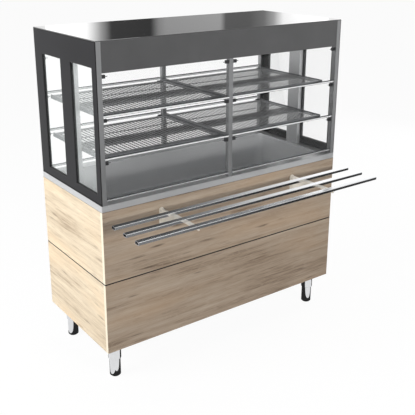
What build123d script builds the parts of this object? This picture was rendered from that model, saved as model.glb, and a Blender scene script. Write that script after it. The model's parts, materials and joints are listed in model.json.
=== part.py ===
from build123d import *
from math import cos, radians, sin
import os

os.makedirs("parts", exist_ok=True)

# Refrigerated self-service display counter. Millimetres, +Z up, floor at Z = 0.
# X runs along the counter, the customers stand on the -Y side.
# Function arguments named y are measured from the cabinet's front face towards the back.

# Overall sizes
counter_length = 1500.0
counter_depth = 655.0
leg_height = 190.0
lower_panel_height = 371.0
panel_joint = 3.0
upper_panel_height = 368.0
worktop_apron = 30.0
display_height = 612.0
canopy_height = 142.0

# Sheets, boards and clearances
board = 19.0
sheet = 2.0
fit_gap = 0.3
pin_clearance = 0.1
panel_clearance = 0.5

# Legs
leg_inset_x = 79.0
leg_inset_y = 84.5
sleeve_diameter = 66.0
foot_diameter = 57.0
sleeve_drop = 90.0
foot_overlap = 60.0
foot_chamfer = 6.0

# Cabinet frame
tube = 20.0
gusset_size = 140.0
gusset_thickness = 4.0
rear_recess = 13.0
rear_return = 20.0

# Cold well
well_length = 1356.0
well_width = 530.0
well_front = 50.0
well_depth = 200.0
well_corner = 50.0
well_bottom_radius = 12.0
well_flange = 12.0
coil_diameter = 10.0
coil_space = 12.0
coil_runs = 6
coil_end_inset = 78.0
coil_tail_bend = 12.0
coil_hole = 16.0
insulation_floor = 30.0
insulation_side = 24.0
insulation_rear = 36.0
drain_x = -500.0
drain_diameter = 32.0
drain_bore = 26.0
valve_size = 44.0
valve_drop = 60.0
drain_rise = 120.0
lever_hub = 20.0
lever_length = 90.0

# Refrigeration unit
compressor_diameter = 170.0
compressor_height = 190.0
compressor_shoulder = 45.0
compressor_foot = 20.0
compressor_base = (140.0, 120.0, 16.0)
condenser_length = 260.0
condenser_height = 230.0
condenser_depth = 40.0
condenser_offset = 40.0
fan_diameter = 184.0
fan_blades = 5
blade_tilt = 24.0
blade_thickness = 2.0
fan_hub_diameter = 50.0
shroud_bore = 200.0
shroud_depth = 30.0
motor_diameter = 80.0
motor_length = 50.0
shaft_diameter = 8.0

# Back of the cabinet
grille_length = 420.0
grille_height = 250.0
louvre_pitch = 22.0
louvre_height = 12.0
louvre_rise = 7.0
grille_margin = 60.0
grille_rise = 24.0
overlap = 15.0
control_inset = 300.0
control_drop = 25.0
bezel_offset = 60.0
rocker_offset = 95.0
gland_diameter = 20.0
gland_bore = 9.0
gland_inset = 110.0
gland_rise = 60.0
control_length = 300.0
control_height = 80.0
bezel_length = 77.0
bezel_height = 35.0
button_diameter = 8.0
rocker_width = 13.0
rocker_height = 19.0
rocker_tilt = 9.0

# Display structure
skin = 3.0
end_inset = 2.0
frame_thickness = 16.0
post_width = 24.0
post_depth = 27.0
window_sill = 41.0
window_head = 24.0
front_stile = 39.0
front_window = 221.0
mullion = 99.0
rear_window = 213.0
gasket = 4.0
pane = 6.0
pane_setback = 1.0
upright_depth = 90.0
upright_thickness = 27.0
centre_post_size = 25.0
centre_post_inset = 8.0
top_plate = 4.0
soffit_recess = 30.0
lamp_width = 30.0
lamp_height = 12.0
lamp_diffuser_height = 3.0
lamp_setback = 30.0
lamp_end_gap = 60.0

# Shelves
shelf_levels = (212.0, 412.0)
shelf_front = 77.0
shelf_depth = 517.0
shelf_fold = 12.0
shelf_end_bar = 6.0
shelf_bar_height = 20.0
shelf_bar_rise = 4.0
shelf_centre_bar = 20.0
shelf_beam_height = 14.0

# Flaps
tiers = 3
flap_thickness = 5.0
flap_line = 14.0
flap_top_gap = 17.0
flap_side_gap = 1.5
flap_lift = 10.0
flap_tongue = 6.0
hinge_length = 21.5
hinge_half_height = 8.0
hinge_half_depth = 5.0
hinge_pin = 3.0
hinge_pin_length = 12.0
lip_reach = 10.0
lip_height = 19.0
lip_drop = 2.5

# Tray slide
rail_count = 3
rail_first = 105.0
rail_pitch = 102.0
rail_width = 30.0
rail_height = 15.0
rail_below_worktop = 61.0
rail_wall = 1.5
bracket_x = 428.0
bracket_width = 25.0
bracket_plate_height = 96.0
bracket_plate_thickness = 5.0
bracket_web = 6.0
bracket_web_height = 70.0
bracket_tip_height = 12.0
bracket_taper_end = 200.0
bracket_head = 4.0
bracket_screw = 7.0
bracket_screw_drop = 18.0
screw_head = 10.0
screw_inset = 8.0
panel_screw_inset = 20.0
panel_screw_spread = 340.0
screw_head_height = 3.0

# Levels
joint_bottom = leg_height + lower_panel_height
joint_top = joint_bottom + panel_joint
panel_top = joint_top + upper_panel_height
worktop_top = panel_top + worktop_apron
canopy_bottom = worktop_top + display_height
overall_height = canopy_bottom + canopy_height
window_top = canopy_bottom + window_head
soffit = canopy_bottom + soffit_recess
well_floor = worktop_top - well_depth
casing_bottom = well_floor - sheet - coil_space - insulation_floor
casing_top = worktop_top - 2 * sheet
rail_top = worktop_top - rail_below_worktop
rail_bottom = rail_top - rail_height
ring_bottom = leg_height + gusset_thickness
floor_sheet_bottom = ring_bottom + tube
floor_sheet_top = floor_sheet_bottom + sheet

# Plan positions
slide_reach = rail_first + (rail_count - 1) * rail_pitch + rail_width / 2
front_y = -(counter_depth - slide_reach) / 2
half = counter_length / 2
inner_half = half - board
frame_half = inner_half - panel_clearance
frame_front = board + panel_clearance + 0.5
rear_face = counter_depth - rear_recess
frame_rear = rear_face - sheet - rear_return
well_middle = well_front + well_width / 2
end_face = half - end_inset
end_inner = end_face - frame_thickness
post_outer = end_face - skin
post_inner = post_outer - post_width
upright_front = front_stile + front_window + (mullion - upright_depth) / 2
upright_inner = end_inner - upright_thickness
tier_height = (display_height - flap_top_gap) / tiers


def at(x, y, z):
    return (x, front_y + y, z)


def block(xs, ys, zs, mode=Mode.ADD):
    with Locations(at((xs[0] + xs[1]) / 2, (ys[0] + ys[1]) / 2, (zs[0] + zs[1]) / 2)):
        Box(abs(xs[1] - xs[0]), abs(ys[1] - ys[0]), abs(zs[1] - zs[0]), mode=mode)


def round_bar(x, y, zs, diameter, mode=Mode.ADD):
    with Locations(at(x, y, (zs[0] + zs[1]) / 2)):
        Cylinder(diameter / 2, zs[1] - zs[0], mode=mode)


def along_y(x, ys, z, diameter, mode=Mode.ADD):
    with Locations(Location(at(x, (ys[0] + ys[1]) / 2, z), (90, 0, 0))):
        Cylinder(diameter / 2, abs(ys[1] - ys[0]), mode=mode)


def along_x(xs, y, z, diameter, mode=Mode.ADD):
    with Locations(Location(at((xs[0] + xs[1]) / 2, y, z), (0, 90, 0))):
        Cylinder(diameter / 2, abs(xs[1] - xs[0]), mode=mode)


def finish(piece, name):
    piece.part.label = name
    export_step(piece.part, f"parts/{name}.step")


def leg_places():
    for x in (-(half - leg_inset_x), half - leg_inset_x):
        for y in (leg_inset_y, counter_depth - leg_inset_y):
            yield x, y


# Legs: fixed sleeves and threaded feet that wind down
sleeve_bottom = leg_height - sleeve_drop
sleeve_bore = foot_diameter + 2 * fit_gap
with BuildPart() as leg_sleeves:
    for x, y in leg_places():
        round_bar(x, y, (sleeve_bottom, leg_height), sleeve_diameter)
    for x, y in leg_places():
        round_bar(x, y, (sleeve_bottom, leg_height - gusset_thickness), sleeve_bore, Mode.SUBTRACT)
    rims = leg_sleeves.edges().filter_by(GeomType.CIRCLE).group_by(Axis.Z)[0]
    chamfer(rims.filter_by(lambda rim: rim.radius > sleeve_bore / 2 + 1), 1.5)
finish(leg_sleeves, "leg_sleeves")

for index, (x, y) in enumerate(leg_places()):
    with BuildPart() as foot:
        round_bar(x, y, (0, sleeve_bottom + foot_overlap), foot_diameter)
        chamfer(foot.edges().filter_by(GeomType.CIRCLE).sort_by(Axis.Z)[0], foot_chamfer)
    finish(foot, "foot_" + ("left_front", "left_rear", "right_front", "right_rear")[index])

# Cabinet frame: corner plates, floor ring, posts and the ring under the cold well
ring_levels = (ring_bottom, casing_bottom - tube)
with BuildPart() as cabinet_frame:
    for side in (-1, 1):
        outer = side * frame_half
        for ys in ((frame_front, frame_front + gusset_size), (frame_rear, frame_rear - gusset_size)):
            block((outer, outer - side * gusset_size), ys, (leg_height, ring_bottom))
        for ys in ((frame_front, frame_front + tube), (frame_rear - tube, frame_rear)):
            block((outer, outer - side * tube), ys, (ring_bottom, worktop_top - sheet))
    for level in ring_levels:
        for ys in ((frame_front, frame_front + tube), (frame_rear - tube, frame_rear)):
            block((-frame_half, frame_half), ys, (level, level + tube))
        for side in (-1, 1):
            outer = side * frame_half
            block((outer, outer - side * tube), (frame_front, frame_rear), (level, level + tube))
finish(cabinet_frame, "cabinet_frame")

with BuildPart() as floor_tray:
    block((-frame_half, frame_half), (frame_front, frame_rear), (floor_sheet_bottom, floor_sheet_top))
    notch = tube + fit_gap
    for side in (-1, 1):
        outer = side * (frame_half + 1)
        for ys in ((frame_front - 1, frame_front + notch), (frame_rear - notch, frame_rear + 1)):
            block((outer, outer - side * (notch + 1)), ys,
                  (floor_sheet_bottom, floor_sheet_top), Mode.SUBTRACT)
finish(floor_tray, "floor_tray")

# Laminate panels
panel_levels = {"lower": (leg_height, joint_bottom), "upper": (joint_top, panel_top)}
for level, heights in panel_levels.items():
    with BuildPart() as side_panels:
        for side in (-1, 1):
            block((side * inner_half, side * half), (board + fit_gap, counter_depth), heights)
    finish(side_panels, "side_panels_" + level)
    with BuildPart() as front_panel:
        block((-half, half), (0, board), heights)
        chamfer(front_panel.edges().filter_by(Axis.Z).group_by(Axis.Y)[0], 0.8)
    finish(front_panel, "front_panel_" + level)

# Back of the cabinet: pressed panel with a louvred service grille and the controls
grille_x = half - board - grille_margin - grille_length / 2
grille_z = floor_sheet_top + grille_rise + grille_height / 2
control_x = -half + control_inset
control_z = ring_levels[1] - control_drop - control_height / 2
bezel_x = control_x - bezel_offset
rocker_x = control_x + rocker_offset
gland_x = -half + gland_inset
gland_z = floor_sheet_top + gland_rise
with BuildPart() as rear_panel:
    block((-frame_half, frame_half), (rear_face - sheet, rear_face), (leg_height + 2, panel_top - 1))
    block((-frame_half, frame_half), (frame_rear + fit_gap, rear_face),
          (leg_height + 2, panel_top - 1))
    block((-frame_half + sheet, frame_half - sheet), (frame_rear, rear_face - sheet),
          (leg_height + 2 + sheet, panel_top - 1 - sheet), Mode.SUBTRACT)
    block((grille_x - grille_length / 2 + overlap, grille_x + grille_length / 2 - overlap),
          (rear_face - sheet, rear_face),
          (grille_z - grille_height / 2 + overlap, grille_z + grille_height / 2 - overlap),
          Mode.SUBTRACT)
    block((control_x - control_length / 2 + overlap, control_x + control_length / 2 - overlap),
          (rear_face - sheet, rear_face),
          (control_z - control_height / 2 + overlap, control_z + control_height / 2 - overlap),
          Mode.SUBTRACT)
    along_y(gland_x, (rear_face - sheet, rear_face), gland_z, gland_diameter, Mode.SUBTRACT)
finish(rear_panel, "rear_panel")

louvre_rows = int((grille_height - 2 * overlap - louvre_height) / louvre_pitch)
with BuildPart() as service_grille:
    block((grille_x - grille_length / 2, grille_x + grille_length / 2),
          (rear_face, rear_face + sheet), (grille_z - grille_height / 2, grille_z + grille_height / 2))
    for row in range(louvre_rows):
        z = grille_z + (row - (louvre_rows - 1) / 2) * louvre_pitch
        for side in (-1, 1):
            x = grille_x + side * grille_length / 4
            louvre_half = grille_length / 4 - overlap
            with BuildSketch(Plane.YZ.offset(x - louvre_half)):
                with BuildLine():
                    Polyline(
                        (front_y + rear_face, z + louvre_height / 2 + sheet),
                        (front_y + rear_face + sheet, z + louvre_height / 2 + sheet),
                        (front_y + rear_face + sheet + louvre_rise, z - louvre_height / 2 + sheet),
                        (front_y + rear_face + sheet + louvre_rise, z - louvre_height / 2),
                        (front_y + rear_face + louvre_rise, z - louvre_height / 2),
                        (front_y + rear_face, z + louvre_height / 2),
                        close=True,
                    )
                make_face()
            extrude(amount=2 * louvre_half)
            block((x - louvre_half + sheet, x + louvre_half - sheet), (rear_face, rear_face + sheet),
                  (z - louvre_height / 2, z + louvre_height / 2 - sheet), Mode.SUBTRACT)
finish(service_grille, "service_grille")

rocker_pivot_y = rear_face + sheet
with BuildPart() as control_panel:
    block((control_x - control_length / 2, control_x + control_length / 2),
          (rear_face, rear_face + sheet), (control_z - control_height / 2, control_z + control_height / 2))
    block((rocker_x - rocker_width / 2 - 4, rocker_x + rocker_width / 2 + 4),
          (rear_face + sheet, rear_face + sheet + 3),
          (control_z - rocker_height / 2 - 4, control_z + rocker_height / 2 + 4))
    block((rocker_x - rocker_width / 2 - 0.5, rocker_x + rocker_width / 2 + 0.5),
          (rear_face, rear_face + sheet + 3),
          (control_z - rocker_height / 2 - 1, control_z + rocker_height / 2 + 1), Mode.SUBTRACT)
    along_x((rocker_x - rocker_width / 2 - 2, rocker_x + rocker_width / 2 + 2),
            rocker_pivot_y - 1, control_z, 2.0)
    block((bezel_x - bezel_length / 2 + 3, bezel_x + bezel_length / 2 - 3),
          (rear_face, rear_face + sheet),
          (control_z - bezel_height / 2 + 3, control_z + bezel_height / 2 - 3), Mode.SUBTRACT)
finish(control_panel, "control_panel")

rocker_plane = Plane(
    origin=at(rocker_x, rocker_pivot_y - 1, control_z), x_dir=(1, 0, 0), z_dir=(0, -1, 0)
).rotated((rocker_tilt, 0, 0))
with BuildPart() as power_switch:
    with BuildSketch(rocker_plane.offset(-5)):
        RectangleRounded(rocker_width, rocker_height - 1, 1.5)
    extrude(amount=7)
    along_x((rocker_x - rocker_width, rocker_x + rocker_width), rocker_pivot_y - 1, control_z,
            2.0 + 2 * pin_clearance, Mode.SUBTRACT)
finish(power_switch, "power_switch")

button_x = bezel_x + bezel_length / 2 - 13
with BuildPart() as thermostat:
    block((bezel_x - bezel_length / 2, bezel_x + bezel_length / 2),
          (rear_face + sheet, rear_face + sheet + 6),
          (control_z - bezel_height / 2, control_z + bezel_height / 2))
    fillet(thermostat.edges().filter_by(Axis.Y), 4)
    block((bezel_x - bezel_length / 2 + 4, bezel_x + bezel_length / 2 - 4),
          (rear_face - 45, rear_face + sheet),
          (control_z - bezel_height / 2 + 4, control_z + bezel_height / 2 - 4))
    block((bezel_x - bezel_length / 2 + 8, bezel_x + bezel_length / 2 - 24),
          (rear_face + sheet + 5.2, rear_face + sheet + 7),
          (control_z - 9, control_z + 9), Mode.SUBTRACT)
    along_y(button_x, (rear_face - 4, rear_face + sheet + 7), control_z,
            button_diameter + 2 * fit_gap, Mode.SUBTRACT)
finish(thermostat, "thermostat")

with BuildPart() as set_button:
    along_y(button_x, (rear_face - 2, rear_face + sheet + 8), control_z, button_diameter)
    fillet(set_button.edges().filter_by(GeomType.CIRCLE).sort_by(Axis.Y)[-1], 1)
finish(set_button, "set_button")

with BuildPart() as cable_gland:
    along_y(gland_x, (rear_face - 12, rear_face + 11), gland_z, gland_diameter - 2 * fit_gap)
    with BuildSketch(Plane.XZ.offset(-(front_y + rear_face))):
        with Locations((gland_x, gland_z)):
            RegularPolygon(gland_diameter * 0.65, 6)
    extrude(amount=-6)
    with BuildSketch(Plane.XZ.offset(-(front_y + rear_face - sheet))):
        with Locations((gland_x, gland_z)):
            RegularPolygon(gland_diameter * 0.65, 6)
    extrude(amount=5)
    along_y(gland_x, (rear_face - 13, rear_face + 12), gland_z, gland_bore, Mode.SUBTRACT)
finish(cable_gland, "cable_gland")

# Worktop and the pressed cold well
middle_y = front_y + counter_depth / 2
well_y = front_y + well_middle
with BuildPart() as worktop:
    with BuildSketch(Plane.XY.offset(panel_top)):
        with Locations((0, middle_y)):
            Rectangle(counter_length, counter_depth)
    extrude(amount=worktop_apron)
    fillet(worktop.edges().filter_by(Axis.Z), sheet)
    with BuildSketch(Plane.XY.offset(panel_top)):
        with Locations((0, middle_y)):
            Rectangle(counter_length - 2 * sheet, counter_depth - 2 * sheet)
    extrude(amount=worktop_apron - sheet, mode=Mode.SUBTRACT)
    with BuildSketch(Plane.XY.offset(worktop_top - sheet)):
        with Locations((0, well_y)):
            RectangleRounded(well_length, well_width, well_corner)
    extrude(amount=sheet, mode=Mode.SUBTRACT)
finish(worktop, "worktop")

with BuildPart() as well:
    with BuildSketch(Plane.XY.offset(well_floor - sheet)):
        with Locations((0, well_y)):
            RectangleRounded(well_length + 2 * sheet, well_width + 2 * sheet, well_corner + sheet)
    extrude(amount=worktop_top - well_floor)
    fillet(well.edges().group_by(Axis.Z)[0], well_bottom_radius)
    offset(amount=-sheet, openings=well.faces().sort_by(Axis.Z)[-1])
    with BuildSketch(Plane.XY.offset(worktop_top - 2 * sheet)):
        with Locations((0, well_y)):
            RectangleRounded(well_length + 2 * (sheet + well_flange), well_width + 2 * (sheet + well_flange),
                             well_corner + sheet + well_flange)
            RectangleRounded(well_length, well_width, well_corner, mode=Mode.SUBTRACT)
    extrude(amount=sheet)
    round_bar(drain_x, well_middle, (well_floor - 2 * sheet, well_floor + sheet), drain_bore, Mode.SUBTRACT)
finish(well, "well")

coil_level = well_floor - sheet - fit_gap - coil_diameter / 2
coil_ys = [
    well_front + coil_end_inset + run * (well_width - 2 * coil_end_inset) / (coil_runs - 1)
    for run in range(coil_runs)
]
coil_half = well_length / 2 - coil_end_inset
compressor_top = floor_sheet_top + compressor_height
condenser_bottom = floor_sheet_top
condenser_top = condenser_bottom + condenser_height
with BuildPart() as insulation:
    block((-(well_length / 2 + insulation_side), well_length / 2 + insulation_side),
          (frame_front + 1, well_front + well_width + insulation_rear), (casing_bottom, casing_top))
    with BuildSketch(Plane.XY.offset(well_floor - sheet - coil_space)):
        with Locations((0, well_y)):
            RectangleRounded(well_length + 2 * sheet + 1, well_width + 2 * sheet + 1, well_corner + sheet)
    extrude(amount=well_depth + coil_space + sheet, mode=Mode.SUBTRACT)
    round_bar(drain_x, well_middle, (casing_bottom, well_floor), drain_diameter + 1, Mode.SUBTRACT)
    for y in (coil_ys[0], coil_ys[-1]):
        round_bar(coil_half, y, (casing_bottom, well_floor), coil_hole, Mode.SUBTRACT)
finish(insulation, "insulation")

coil_points = [at(coil_half, coil_ys[0], compressor_top + fit_gap)]
for run, y in enumerate(coil_ys):
    ends = (coil_half, -coil_half) if run % 2 == 0 else (-coil_half, coil_half)
    coil_points += [at(end, y, coil_level) for end in ends]
coil_points.append(at(coil_half, coil_ys[-1], condenser_top + fit_gap))
coil_bend = (coil_ys[1] - coil_ys[0]) / 2 - 0.5
coil_bends = [coil_tail_bend] + [coil_bend] * (len(coil_points) - 4) + [coil_tail_bend]
with BuildPart() as cooling_coil:
    with BuildLine() as coil_path:
        FilletPolyline(*coil_points, radius=coil_bends)
    with BuildSketch(Plane.XY.offset(compressor_top + fit_gap)):
        with Locations((coil_half, front_y + coil_ys[0])):
            Circle(coil_diameter / 2)
    sweep()
finish(cooling_coil, "cooling_coil")

# Drain with a quarter-turn valve
valve_top = casing_bottom - valve_drop
valve_middle = valve_top - valve_size / 2
drain_end = floor_sheet_top + drain_rise
lever_plane_y = well_middle + valve_size / 2
with BuildPart() as drain_pipe:
    round_bar(drain_x, well_middle, (drain_end, well_floor - sheet - fit_gap), drain_diameter)
    block((drain_x - valve_size / 2, drain_x + valve_size / 2),
          (well_middle - valve_size / 2, lever_plane_y), (valve_top - valve_size, valve_top))
    along_y(drain_x, (lever_plane_y, lever_plane_y + 12), valve_middle, shaft_diameter)
    round_bar(drain_x, well_middle, (drain_end - 1, well_floor), drain_bore, Mode.SUBTRACT)
finish(drain_pipe, "drain_pipe")

with BuildPart() as drain_lever:
    along_y(drain_x, (lever_plane_y + fit_gap, lever_plane_y + 10), valve_middle, lever_hub)
    block((drain_x, drain_x + lever_length), (lever_plane_y + 4, lever_plane_y + 8),
          (valve_middle - 8, valve_middle + 8))
    along_y(drain_x, (lever_plane_y, lever_plane_y + 13), valve_middle,
            shaft_diameter + 2 * pin_clearance, Mode.SUBTRACT)
finish(drain_lever, "drain_lever")

# Condensing unit on the floor sheet
compressor_y = coil_ys[0]
condenser_y = coil_ys[-1]
condenser_x = coil_half - condenser_length / 2 + condenser_offset
condenser_rear = condenser_y + condenser_depth / 2
condenser_front = condenser_y - condenser_depth / 2
shroud_front = condenser_front - shroud_depth
fan_z = condenser_bottom + condenser_height / 2
with BuildPart() as compressor:
    round_bar(coil_half, compressor_y, (floor_sheet_top + 12, compressor_top), compressor_diameter)
    fillet(compressor.edges().filter_by(GeomType.CIRCLE).sort_by(Axis.Z)[-1], compressor_shoulder)
    fillet(compressor.edges().filter_by(GeomType.CIRCLE).sort_by(Axis.Z)[0], compressor_foot)
    block((coil_half - compressor_base[0] / 2, coil_half + compressor_base[0] / 2),
          (compressor_y - compressor_base[1] / 2, compressor_y + compressor_base[1] / 2),
          (floor_sheet_top, floor_sheet_top + compressor_base[2]))
finish(compressor, "compressor")

with BuildPart() as condenser:
    block((condenser_x - condenser_length / 2, condenser_x + condenser_length / 2),
          (condenser_front, condenser_rear), (condenser_bottom, condenser_top))
finish(condenser, "condenser")

with BuildPart() as fan_shroud:
    block((condenser_x - condenser_length / 2, condenser_x + condenser_length / 2),
          (shroud_front, condenser_front), (condenser_bottom, condenser_top))
    along_y(condenser_x, (shroud_front, condenser_front), fan_z, shroud_bore, Mode.SUBTRACT)
finish(fan_shroud, "fan_shroud")

motor_rear = shroud_front - 4
with BuildPart() as fan_motor:
    along_y(condenser_x, (motor_rear - motor_length, motor_rear), fan_z, motor_diameter)
    fillet(fan_motor.edges().filter_by(GeomType.CIRCLE).sort_by(Axis.Y)[0], 8)
    for angle in (30, 90, 150):
        with BuildSketch(Plane.XZ.offset(-(front_y + motor_rear))):
            with Locations(Location((condenser_x, fan_z), angle)):
                Rectangle(shroud_bore + 24, 10)
        extrude(amount=-4)
    along_y(condenser_x, (motor_rear, shroud_front + shroud_depth - 6), fan_z, shaft_diameter)
finish(fan_motor, "fan_motor")

fan_rear = condenser_front - 8
fan_front = shroud_front + 4
with BuildPart() as condenser_fan:
    along_y(condenser_x, (fan_front, fan_rear), fan_z, fan_hub_diameter)
    for blade in range(fan_blades):
        turn = radians(blade * 360 / fan_blades)
        tilt = radians(blade_tilt)
        blade_plane = Plane(
            origin=at(condenser_x, (fan_front + fan_rear) / 2, fan_z),
            x_dir=(cos(turn), 0, sin(turn)),
            z_dir=(-sin(turn) * sin(tilt), -cos(tilt), cos(turn) * sin(tilt)),
        )
        with BuildSketch(blade_plane.offset(-blade_thickness / 2)):
            with BuildLine():
                Polyline((18, -10), (fan_diameter / 2 - 8, -20), (fan_diameter / 2 - 1, 0),
                         (fan_diameter / 2 - 8, 16), (18, 10), close=True)
            make_face()
        extrude(amount=blade_thickness)
    along_y(condenser_x, (fan_front - 1, fan_rear + 1), fan_z,
            shaft_diameter + 2 * pin_clearance, Mode.SUBTRACT)
finish(condenser_fan, "condenser_fan")

# Display ends: frames with two windows, gaskets, panes, uprights and corner posts
window_bottom = worktop_top + window_sill
window_spans = (
    (front_stile, front_stile + front_window),
    (front_stile + front_window + mullion, front_stile + front_window + mullion + rear_window),
)
with BuildPart() as end_frames:
    for side in (-1, 1):
        block((side * end_inner, side * end_face), (0, counter_depth), (worktop_top, overall_height - top_plate))
        for ys in window_spans:
            block((side * end_inner, side * end_face), ys, (window_bottom, window_top), Mode.SUBTRACT)
        for ys in ((0, post_depth), (counter_depth - post_depth, counter_depth)):
            block((side * end_inner, side * post_outer), ys, (worktop_top, overall_height - top_plate),
                  Mode.SUBTRACT)
finish(end_frames, "end_frames")

with BuildPart() as glazing_gaskets:
    for side in (-1, 1):
        for ys in window_spans:
            block((side * end_inner, side * (end_face - 0.5)), ys, (window_bottom, window_top))
    for side in (-1, 1):
        for ys in window_spans:
            block((side * end_inner, side * (end_face - 0.5)), (ys[0] + gasket, ys[1] - gasket),
                  (window_bottom + gasket, window_top - gasket), Mode.SUBTRACT)
finish(glazing_gaskets, "glazing_gaskets")

pane_middle = end_inner + pane / 2 + pane_setback
with BuildPart() as end_panes:
    for side in (-1, 1):
        for ys in window_spans:
            block((side * (pane_middle - pane / 2), side * (pane_middle + pane / 2)),
                  (ys[0] + gasket, ys[1] - gasket), (window_bottom + gasket, window_top - gasket))
finish(end_panes, "end_panes")

with BuildPart() as end_uprights:
    for side in (-1, 1):
        block((side * upright_inner, side * end_inner), (upright_front, upright_front + upright_depth),
              (worktop_top, soffit))
    fillet(end_uprights.edges().filter_by(Axis.Z), 2)
finish(end_uprights, "end_uprights")

flap_lines = (flap_line, counter_depth - flap_line)
hinge_levels = [worktop_top + (tier + 1) * tier_height for tier in range(tiers)]
with BuildPart() as corner_posts:
    for side in (-1, 1):
        for ys in ((0, post_depth), (counter_depth - post_depth, counter_depth)):
            block((side * post_inner, side * post_outer), ys, (worktop_top, overall_height - top_plate))
finish(corner_posts, "corner_posts")

post_half = centre_post_size / 2
rear_post_front = counter_depth - centre_post_inset - centre_post_size
with BuildPart() as centre_posts:
    for ys in ((centre_post_inset, centre_post_inset + centre_post_size),
               (rear_post_front, rear_post_front + centre_post_size)):
        block((-post_half, post_half), ys, (worktop_top, soffit))
    fillet(centre_posts.edges().filter_by(Axis.Z), 1.5)
finish(centre_posts, "centre_posts")

# Canopy with its glossy top plate and the lamp
canopy_half = post_inner - fit_gap
canopy_rim = overall_height - top_plate
canopy_return = centre_post_inset - 1
with BuildPart() as canopy:
    for ys in ((0, sheet), (counter_depth - sheet, counter_depth)):
        block((-canopy_half, canopy_half), ys, (canopy_bottom, canopy_rim))
    block((-canopy_half, canopy_half), (0, counter_depth), (soffit, soffit + sheet))
    for ys in ((0, canopy_return), (counter_depth - canopy_return, counter_depth)):
        block((-canopy_half, canopy_half), ys, (canopy_bottom, canopy_bottom + sheet))
finish(canopy, "canopy")

with BuildPart() as canopy_top:
    block((-end_face, end_face), (0, counter_depth), (canopy_rim, overall_height))
    chamfer(canopy_top.edges().group_by(Axis.Z)[-1], 1.5)
finish(canopy_top, "canopy_top")

lamp_y = centre_post_inset + centre_post_size + lamp_setback
lamp_half = canopy_half - lamp_end_gap
with BuildPart() as lamp_housing:
    block((-lamp_half, lamp_half), (lamp_y - lamp_width / 2, lamp_y + lamp_width / 2),
          (soffit - lamp_height, soffit))
    block((-lamp_half + 2, lamp_half - 2), (lamp_y - lamp_width / 2 + 2, lamp_y + lamp_width / 2 - 2),
          (soffit - lamp_height, soffit - lamp_height + lamp_diffuser_height), Mode.SUBTRACT)
finish(lamp_housing, "lamp_housing")

with BuildPart() as lamp_diffuser:
    block((-lamp_half + 2.2, lamp_half - 2.2),
          (lamp_y - lamp_width / 2 + 2.2, lamp_y + lamp_width / 2 - 2.2),
          (soffit - lamp_height, soffit - lamp_height + lamp_diffuser_height))
finish(lamp_diffuser, "lamp_diffuser")

# Shelf supports and the four shelf plates
shelf_rear = shelf_front + shelf_depth
shelf_outer = upright_inner - shelf_end_bar
with BuildPart() as shelf_supports:
    for level in shelf_levels:
        top = worktop_top + level
        bar_top = top + shelf_bar_rise
        block((-upright_inner, upright_inner), (upright_front, upright_front + upright_depth),
              (top - sheet - shelf_beam_height, top - sheet))
        block((-shelf_centre_bar / 2, shelf_centre_bar / 2),
              (centre_post_inset + centre_post_size, rear_post_front),
              (bar_top - shelf_bar_height, bar_top))
        for side in (-1, 1):
            block((side * shelf_outer, side * upright_inner), (shelf_front, shelf_rear),
                  (bar_top - shelf_bar_height, bar_top))
finish(shelf_supports, "shelf_supports")

shelf_from = shelf_centre_bar / 2 + fit_gap
shelf_to = shelf_outer - fit_gap
for level, height in zip(("lower", "upper"), shelf_levels):
    for side, name in ((-1, "left"), (1, "right")):
        top = worktop_top + height
        with BuildPart() as shelf:
            block((side * shelf_from, side * shelf_to), (shelf_front, shelf_rear), (top - sheet, top))
            for ys in ((shelf_front, shelf_front + sheet), (shelf_rear - sheet, shelf_rear)):
                block((side * shelf_from, side * shelf_to), ys, (top - shelf_fold, top))
        finish(shelf, f"shelf_{level}_{name}")

# Flap hinges fixed to the posts, and twelve clear flaps with a finger lip
hinge_inner = post_half + hinge_length
hinge_outer = post_inner - hinge_length
with BuildPart() as flap_hinges:
    for line in flap_lines:
        for level in hinge_levels:
            for side in (-1, 1):
                for start, end, pin_end in ((post_half, hinge_inner, hinge_inner + hinge_pin_length),
                                            (post_inner, hinge_outer, hinge_outer - hinge_pin_length)):
                    block((side * start, side * end), (line - hinge_half_depth, line + hinge_half_depth),
                          (level - hinge_half_height, level + hinge_half_height))
                    along_x((side * end, side * pin_end), line, level, hinge_pin)
finish(flap_hinges, "flap_hinges")

flap_from = post_half + flap_side_gap
flap_to = post_inner - flap_side_gap
notch_height = hinge_half_height + 3
for line, row, outward in zip(flap_lines, ("front", "rear"), (-1, 1)):
    for tier, level in zip(("lower", "middle", "upper"), hinge_levels):
        foot_of_flap = level - tier_height + flap_lift
        for side, name in ((-1, "left"), (1, "right")):
            with BuildPart() as flap:
                with BuildSketch(Plane.YZ.offset(min(side * flap_from, side * flap_to))):
                    with BuildLine():
                        FilletPolyline(
                            (front_y + line, level + flap_tongue),
                            (front_y + line, foot_of_flap + 4 * lip_drop),
                            (front_y + line + outward * lip_reach / 2, foot_of_flap + lip_drop),
                            (front_y + line + outward * lip_reach, foot_of_flap + lip_height),
                            radius=flap_thickness / 2 + 0.5,
                        )
                    trace(line_width=flap_thickness)
                extrude(amount=flap_to - flap_from)
                for inner, outer in ((flap_from - 1, hinge_inner + 1), (hinge_outer - 1, flap_to + 1)):
                    block((side * inner, side * outer), (line - flap_thickness, line + flap_thickness),
                          (level - notch_height, level + flap_tongue + 1), Mode.SUBTRACT)
                for inner, outer in ((hinge_inner, hinge_inner + hinge_pin_length + 1),
                                     (hinge_outer, hinge_outer - hinge_pin_length - 1)):
                    along_x((side * inner, side * outer), line, level, hinge_pin + 2 * pin_clearance,
                            Mode.SUBTRACT)
            finish(flap, f"flap_{row}_{tier}_{name}")

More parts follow.
